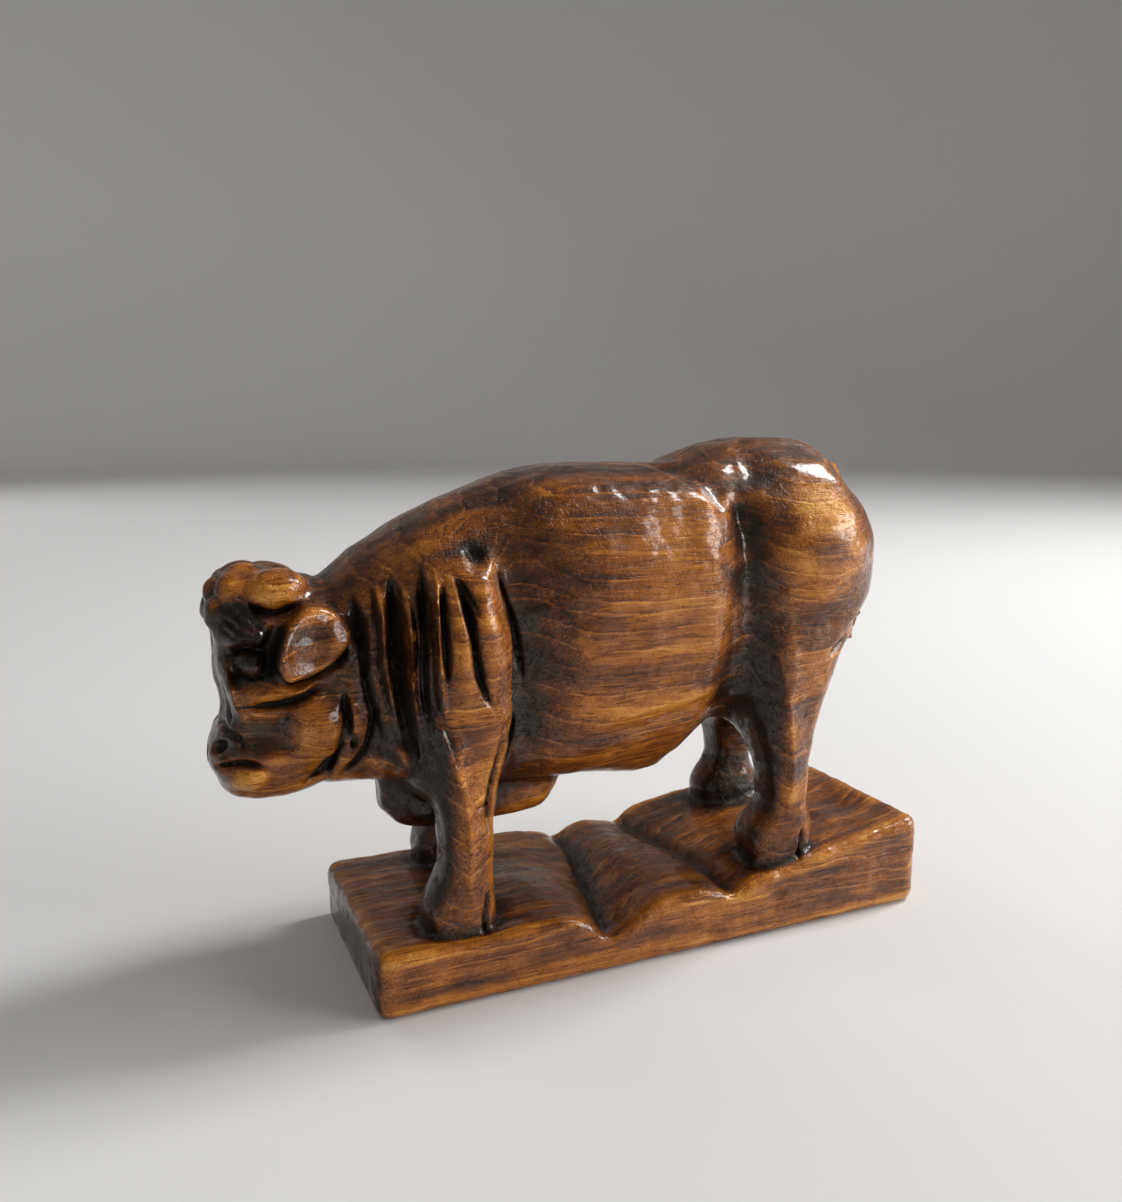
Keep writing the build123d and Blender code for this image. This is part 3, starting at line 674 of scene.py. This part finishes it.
def share_out(points, quads, nodes):
    """The solid that each face belongs to: the nearest one, with no stray scraps."""
    middles = points[quads].mean(1)
    owner = np.argmin([sample(*FORMS[node], middles) for node in nodes], axis=0)
    pairs = shared_edges(quads)
    patch = patches(owner, pairs)
    sizes = np.bincount(patch, minlength=len(patch))[patch]
    stray = np.ones(len(owner), bool)
    for number in range(len(nodes)):
        largest = patch[np.argmax(np.where(owner == number, sizes, 0))]
        stray[patch == largest] = False
    while True:
        left = stray.sum()
        for a, b in (pairs, pairs[::-1]):
            taken = stray[a] & ~stray[b]
            owner[a[taken]] = owner[b[taken]]
            stray[a[taken]] = False
        if stray.sum() == left:
            owner[stray] = NOBODY
            return owner


def rims(faces):
    """The open edges of a patch, as closed rounds of points."""
    starts, ends = faces.ravel(), np.roll(faces, -1, axis=1).ravel()
    count = faces.max() + 1
    open_edge = ~np.isin(starts * count + ends, ends * count + starts)
    onward = {}
    for a, b in zip(starts[open_edge].tolist(), ends[open_edge].tolist()):
        onward.setdefault(a, []).append(b)
    rounds = []
    while onward:
        first = next(iter(onward))
        line, here = [], first
        while True:
            line.append(here)
            choices = onward[here]
            onto = choices.pop()
            if not choices:
                del onward[here]
            here = onto
            if here == first:
                break
        rounds.append(line)
    return rounds


def make_piece(node, points, normals, inward, faces, masks):
    """One piece of the carving: its patch of the surface, closed inside by a face to each neighbour."""
    used, faces = np.unique(faces, return_inverse=True)
    faces = faces.reshape(-1, 4)
    points, normals, inward = points[used], normals[used], inward[used]
    masks = {mask: values[used] for mask, values in masks.items()}
    corners = [tuple(face) for face in faces.tolist()]
    facing = [normals[faces].reshape(-1, 3)]
    for line in rims(faces):
        inner = points[line] + inward[line] * CAP_STEP
        middle = inner.mean(0)
        apex = middle + inward[line].mean(0) * CAP_DEPTH * np.linalg.norm(inner - middle, axis=1).mean()
        first, tip = len(points), len(points) + len(line)
        points = np.vstack([points, inner, apex])
        masks = {mask: np.concatenate([values, values[line], [values[line].mean()]])
                 for mask, values in masks.items()}
        for i, a in enumerate(line):
            j = (i + 1) % len(line)
            for corner in ((line[j], a, first + i, first + j), (first + j, first + i, tip)):
                corners.append(corner)
                flat = np.cross(points[corner[1]] - points[corner[0]], points[corner[2]] - points[corner[0]])
                facing.append(np.tile(flat / max(np.linalg.norm(flat), 1e-9), (len(corner), 1)))
    mesh = bpy.data.meshes.new(node + "_carved")
    mesh.from_pydata((points * MM).tolist(), [], corners)
    mesh.shade_smooth()
    for mask, values in masks.items():
        mesh.attributes.new(mask, "FLOAT", "POINT").data.foreach_set("value", values.astype(np.float32))
    mesh.normals_split_custom_set(np.vstack(facing).tolist())
    piece = bpy.data.objects.new(node + "_carved", mesh)
    bpy.context.scene.collection.objects.link(piece)
    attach(piece, "root")
    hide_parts(node)
    return piece


FORMS = {node: form(node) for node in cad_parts}
block = carve_bull()
join(block, (slice(None),) * 3, carve_ground(), GROUND_JOIN)
points, quads = surface(block)
normals = point_normals(points, quads)
filled = (block < 0).astype(np.float32)
masks = {mask: read_between(blurred(filled, radius), points) for mask, radius in MASKS.items()}
masks["knot"] = sample(*FORMS["knot"], points)
# The wear, the painted light and the painted shade at each point, kept for the material.
masks["wear_and_painted_light"] = wear_and_painted_light(points, normals)
owner = share_out(points, quads, list(FORMS))
points = hand_worked(points, normals)
normals = point_normals(points, quads)
broad = blurred(block, BROAD)
inward = -np.stack([read_between(outward(broad, axis), points) for axis in range(3)], axis=1)
inward /= np.linalg.norm(inward, axis=1)[:, None]
pieces = {node: make_piece(node, points, normals, inward, quads[owner == number], masks)
          for number, node in enumerate(FORMS)}


class Bench:
    """A node tree, with short ways to add nodes and join them."""

    def __init__(self, tree):
        self.tree = tree

    def put(self, socket, value):
        if isinstance(value, bpy.types.NodeSocket):
            self.tree.links.new(value, socket)
        else:
            socket.default_value = value

    def add(self, kind, inputs=None, **settings):
        node = self.tree.nodes.new("ShaderNode" + kind)
        for name, value in settings.items():
            setattr(node, name, value)
        for name, value in (inputs or {}).items():
            self.put(node.inputs[name], value)
        return node

    def sum(self, operation, a, b=0.0):
        node = self.add("Math", {0: a, 1: b}, operation=operation)
        return node.outputs[0]

    def along(self, vector, operation, by):
        node = self.add("VectorMath", {0: vector, 1: by}, operation=operation)
        return node.outputs["Value" if operation == "LENGTH" else "Vector"]

    def rise(self, value, start, end, low=0.0, high=1.0):
        """Goes smoothly from low to high as a value goes from start to end."""
        node = self.add("MapRange", {"Value": value, "From Min": start, "From Max": end,
                                     "To Min": low, "To Max": high}, interpolation_type="SMOOTHSTEP")
        return node.outputs["Result"]

    def cloud(self, vector, stretch, detail=2.0, roughness=0.5):
        """Noise, with its scale along each axis in turns per millimetre."""
        scaled = self.along(vector, "MULTIPLY", stretch)
        node = self.add("TexNoise", {"Vector": scaled, "Scale": 1.0, "Detail": detail,
                                     "Roughness": roughness})
        return node.outputs["Fac"]

    def blend(self, shares, start=0.0):
        """The sum of some values, each times its own weight."""
        total = start
        for value, weight in shares:
            node = self.add("Math", {0: value, 1: weight, 2: total}, operation="MULTIPLY_ADD")
            total = node.outputs[0]
        return total

    def coloured(self, value, stops):
        """A colour from a row of colours."""
        node = self.add("ValToRGB", {"Fac": value})
        row = node.color_ramp.elements
        while len(row) < len(stops):
            row.new(1.0)
        for element, (place, colour) in zip(row, stops):
            element.position = place
            element.color = colour
        return node.outputs["Color"]

    def millimetres(self):
        place = self.add("TexCoord").outputs["Object"]
        return self.along(place, "MULTIPLY", (1 / MM,) * 3)


def new_group(name, inputs, outputs):
    """A node group with named values in and out, and the bench to build it on."""
    tree = bpy.data.node_groups.new(name, "ShaderNodeTree")
    for socket, value in inputs.items():
        made = tree.interface.new_socket(socket, in_out="INPUT", socket_type="NodeSocketFloat")
        made.default_value = value
    for socket in outputs:
        tree.interface.new_socket(socket, in_out="OUTPUT", socket_type="NodeSocketFloat")
    return Bench(tree), tree.nodes.new("NodeGroupInput").outputs, tree.nodes.new("NodeGroupOutput").inputs


def make_wood_figure():
    """Growth rings about the tree's heart, and the streaks, flecks and pores that run along the block."""
    bench, given, out = new_group("wood_figure", {"Ring": 4.0, "Wander": 3.0}, ["Tone", "Height"])
    place = bench.millimetres()
    wander = bench.cloud(place, (0.012, 0.035, 0.035), 3.0)
    ripple = bench.cloud(place, (0.05, 0.25, 0.25), 2.0)
    from_heart = bench.along(place, "SUBTRACT", HEART)
    radius = bench.along(bench.along(from_heart, "MULTIPLY", (0, 1, 1)), "LENGTH", (0, 0, 0))
    radius = bench.sum("ADD", radius, bench.sum("MULTIPLY", wander, given["Wander"]))
    radius = bench.sum("ADD", radius, bench.sum("MULTIPLY", ripple, 1.8))
    knot = bench.add("Attribute", attribute_name="knot").outputs["Fac"]
    radius = bench.sum("ADD", radius, bench.rise(knot, 9.0, 0.0, 0.0, 7.0))
    pace = bench.add("TexNoise", {"W": bench.sum("MULTIPLY", radius, 0.11), "Scale": 1.0, "Detail": 1.0},
                     noise_dimensions="1D").outputs["Fac"]
    radius = bench.sum("ADD", radius, bench.sum("MULTIPLY", pace, 7.0))
    season = bench.sum("FRACT", bench.sum("DIVIDE", radius, given["Ring"]))
    broken = bench.rise(bench.cloud(place, (0.025, 0.45, 0.45), 3.0), 0.34, 0.62)
    late = bench.sum("MULTIPLY", bench.rise(season, 0.74, 0.90), bench.rise(season, 0.99, 0.92))
    late = bench.sum("MULTIPLY", late, broken)
    early = bench.sum("MULTIPLY", bench.rise(season, 0.30, 0.0), broken)
    streak = bench.sum("SUBTRACT", bench.cloud(place, (0.014, 0.13, 0.13), 5.0, 0.62), 0.5)
    facing = bench.add("SeparateXYZ", {0: bench.add("NewGeometry").outputs["Normal"]}).outputs["X"]
    streak = bench.sum("MULTIPLY", streak, bench.rise(bench.sum("ABSOLUTE", facing), 0.4, 0.9, 1.0, 0.3))
    fibre = bench.cloud(place, (0.06, 2.2, 2.2), 3.0, 0.6)
    fleck = bench.rise(bench.cloud(place, (0.11, 1.6, 1.6), 2.0), 0.56, 0.70)
    pore = bench.rise(bench.cloud(place, (0.08, 2.0, 2.0), 2.0, 0.6), 0.42, 0.30)
    bench.put(out["Tone"], bench.blend([(late, 0.20), (early, -0.13), (streak, 1.3), (fibre, 0.5),
                                        (fleck, 0.12), (pore, -0.22)], -0.25))
    bench.put(out["Height"], bench.blend([(fibre, 1.0), (late, 0.5), (pore, -0.8)]))
    return bench.tree


def make_stain_wear_and_painted_light():
    """Where the dark stain was left in the cuts, with painted shade there and in the broad hollows, where it was
    worn off the high places, and the wear and painted light and shade given at each point.
    """
    bench, given, out = new_group("stain_wear_and_painted_light", {}, ["Tone", "Deep"])
    place = bench.millimetres()
    felt = {mask: bench.add("Attribute", attribute_name=mask).outputs["Fac"] for mask in MASKS}
    blotch = bench.cloud(place, (0.06, 0.10, 0.10), 5.0, 0.62)
    felt = {mask: bench.blend([(value, 1.0), (blotch, 0.16)], -0.08) for mask, value in felt.items()}
    # Dark stain left in the narrow cuts and hollows, and painted shade there.
    deep = bench.sum("MAXIMUM", bench.rise(felt["crease"], 0.555, 0.70), bench.rise(felt["hollow"], 0.66, 0.90))
    knot = bench.add("Attribute", attribute_name="knot").outputs["Fac"]
    ragged = bench.cloud(place, (0.5, 0.9, 0.9), 2.0)
    knot = bench.rise(bench.blend([(knot, 1.0), (ragged, 2.0)]), 2.0, 0.0)
    bench.put(out["Deep"], bench.sum("MAXIMUM", deep, knot))
    # Painted shade in the broad hollows.
    shade = bench.sum("MAXIMUM", bench.rise(felt["hollow"], 0.49, 0.62), bench.rise(felt["dell"], 0.47, 0.62))
    crest = bench.rise(felt["hollow"], 0.475, 0.38)
    # The wear and the painted light and shade given at each point.
    given_up = bench.add("Attribute", attribute_name="wear_and_painted_light").outputs["Fac"]
    bench.put(out["Tone"], bench.blend([(given_up, 1.0), (blotch, 0.75), (shade, -0.28), (crest, 0.16)], -0.375))
    return bench.tree


def make_tool_marks():
    """Fine scratches of the rasp and scraper, and the small dents of handling."""
    bench, given, out = new_group("tool_marks", {"Coarseness": 1.0}, ["Height"])
    place = bench.millimetres()
    dents = bench.cloud(place, (0.35, 0.35, 0.35), 2.0)
    pits = bench.rise(bench.cloud(place, (0.9, 1.1, 1.1), 2.0), 0.42, 0.30)
    marks = [(dents, 1.6), (pits, -0.7)]
    for turn in TOOL_TURNS:
        turned = bench.add("VectorRotate", {"Vector": place, "Axis": (0, 1, 0), "Angle": turn},
                           rotation_type="AXIS_ANGLE").outputs["Vector"]
        marks.append((bench.rise(bench.cloud(turned, (0.07, 0.6, 2.6), 1.0), 0.60, 0.72), -0.7))
    bench.put(out["Height"], bench.sum("MULTIPLY", bench.blend(marks), given["Coarseness"]))
    return bench.tree


def make_wood(name, ring, wander, tone, coarseness):
    """Stained and varnished softwood, worn bright on its high places, with painted light and shade in its
    colour.
    """
    material = bpy.data.materials.new(name)
    material.use_nodes = True
    bench = Bench(material.node_tree)
    shader = bench.tree.nodes["Principled BSDF"]
    figure = bench.add("Group", node_tree=WOOD_FIGURE)
    figure.inputs["Ring"].default_value = ring
    figure.inputs["Wander"].default_value = wander
    stain_and_light = bench.add("Group", node_tree=STAIN_WEAR_AND_PAINTED_LIGHT).outputs
    marks = bench.add("Group", node_tree=TOOL_MARKS)
    marks.inputs["Coarseness"].default_value = coarseness
    wood = figure.outputs
    # The colour's brightness carries painted light and shade along with the stain, the wear and the grain.
    brightness = bench.blend([(wood["Tone"], 1.0), (stain_and_light["Tone"], 1.0), (stain_and_light["Deep"], -0.45)], tone)
    bench.put(shader.inputs["Base Color"], bench.coloured(brightness, STAIN_AND_LIGHT_COLOURS))
    bench.put(shader.inputs["Roughness"], bench.rise(brightness, 0.1, 0.8, 0.30, 0.17))
    height = bench.sum("ADD", wood["Height"], marks.outputs["Height"])
    shader.inputs["Specular IOR Level"].default_value = 0.25
    shader.inputs["Specular Tint"].default_value = (1.0, 0.85, 0.65, 1)
    varnish = bench.rise(height, 0.6, 1.7, 0.15, 0.85)
    bench.put(shader.inputs["Coat Weight"], bench.blend([(stain_and_light["Deep"], -0.5)], varnish))
    shader.inputs["Coat Roughness"].default_value = 0.14
    bump = bench.add("Bump", {"Strength": 0.8, "Distance": 0.00028, "Height": height})
    bench.put(shader.inputs["Normal"], bump.outputs["Normal"])
    return material


# The heart of the tree runs along the block, below its far side.
HEART = (0.0, 60.0, -40.0)
TOOL_TURNS = (math.radians(62), math.radians(118))
# The wood's colours, from the darkest, where the stain lies thickest and the painted shade is deepest, to the
# brightest, where the stain was worn off and the painted light is strongest.
STAIN_AND_LIGHT_COLOURS = [
    (0.00, (0.006, 0.004, 0.003, 1)),
    (0.26, (0.042, 0.011, 0.003, 1)),
    (0.52, (0.195, 0.050, 0.004, 1)),
    (0.78, (0.460, 0.152, 0.012, 1)),
    (1.00, (0.700, 0.310, 0.045, 1)),
]
WOOD_FIGURE = make_wood_figure()
STAIN_WEAR_AND_PAINTED_LIGHT = make_stain_wear_and_painted_light()
TOOL_MARKS = make_tool_marks()
FINISHES = {
    "carved_wood": make_wood("carved_wood", 4.4, 9.0, 0.50, 1.0),
    "ground_wood": make_wood("ground_wood", 3.6, 8.0, 0.54, 1.3),
    "knot_wood": make_wood("knot_wood", 1.6, 6.0, 0.50, 1.0),
}
for node, piece in pieces.items():
    piece.data.materials.append(FINISHES[SLOTS.get(node, "carved_wood")])

# Camera
FOCAL = 31.06
camera = bpy.data.objects.new("camera", bpy.data.cameras.new("camera"))
camera.data.lens = FOCAL
camera.location = Vector((-162.43, -311.98, 174.46)) * MM
camera.rotation_euler = Euler((math.radians(90 - 10.029), 0, math.radians(-23.683)))
bpy.context.scene.collection.objects.link(camera)
bpy.context.scene.camera = camera

def make_floor():
    """A round pale floor that sweeps up into a backdrop on every side."""
    profile = [(0.0, 0.0), (FLOOR_RADIUS, 0.0)]
    for step in range(1, SWEEP_STEPS + 1):
        turn = math.pi / 2 * step / SWEEP_STEPS
        profile.append((FLOOR_RADIUS + SWEEP * math.sin(turn), SWEEP * (1 - math.cos(turn))))
    profile.append((FLOOR_RADIUS + SWEEP, BACKDROP_HEIGHT))
    points, faces = [], []
    for turn in np.linspace(0, 2 * math.pi, FLOOR_SIDES, endpoint=False):
        points += [(out * math.cos(turn), out * math.sin(turn), up) for out, up in profile]
    rows = len(profile)
    for start in range(0, len(points), rows):
        onto = (start + rows) % len(points)
        faces += [(start + i, onto + i, onto + i + 1, start + i + 1) for i in range(rows - 1)]
    mesh = bpy.data.meshes.new("floor")
    mesh.from_pydata(points, [], faces)
    mesh.shade_smooth()
    floor = bpy.data.objects.new("floor", mesh)
    bpy.context.scene.collection.objects.link(floor)
    material = bpy.data.materials.new("pale_floor")
    material.use_nodes = True
    shader = material.node_tree.nodes["Principled BSDF"]
    shader.inputs["Base Color"].default_value = (0.72, 0.71, 0.70, 1)
    shader.inputs["Roughness"].default_value = 0.7
    mesh.materials.append(material)


def add_lamp(name, place, width, height, power, mirrored=True):
    light = bpy.data.lights.new(name, "AREA")
    light.shape = "ELLIPSE"
    light.size, light.size_y = width, height
    light.energy = power
    lamp = bpy.data.objects.new(name, light)
    lamp.location = place
    lamp.visible_glossy = mirrored
    lamp.rotation_euler = (LAMP_AIM - lamp.location).to_track_quat("-Z", "Y").to_euler()
    bpy.context.scene.collection.objects.link(lamp)


FLOOR_RADIUS, SWEEP, SWEEP_STEPS, BACKDROP_HEIGHT, FLOOR_SIDES = 3.4, 1.0, 10, 3.6, 128
LAMP_AIM = Vector((0, 0, 0.09))
make_floor()
add_lamp("window", Vector((1.42, 0.05, 1.58)), 0.55, 1.1, 36.0)
add_lamp("side", Vector((1.87, -1.10, 0.70)), 1.8, 1.1, 38.0)
add_lamp("far", Vector((-0.90, 2.10, 1.20)), 1.1, 1.1, 11.0, mirrored=False)
world = bpy.data.worlds.new("room")
world.use_nodes = True
world.node_tree.nodes["Background"].inputs["Color"].default_value = (1.0, 0.97, 0.94, 1)
world.node_tree.nodes["Background"].inputs["Strength"].default_value = 0.18
bpy.context.scene.world = world
bpy.context.scene.view_settings.view_transform = "Standard"
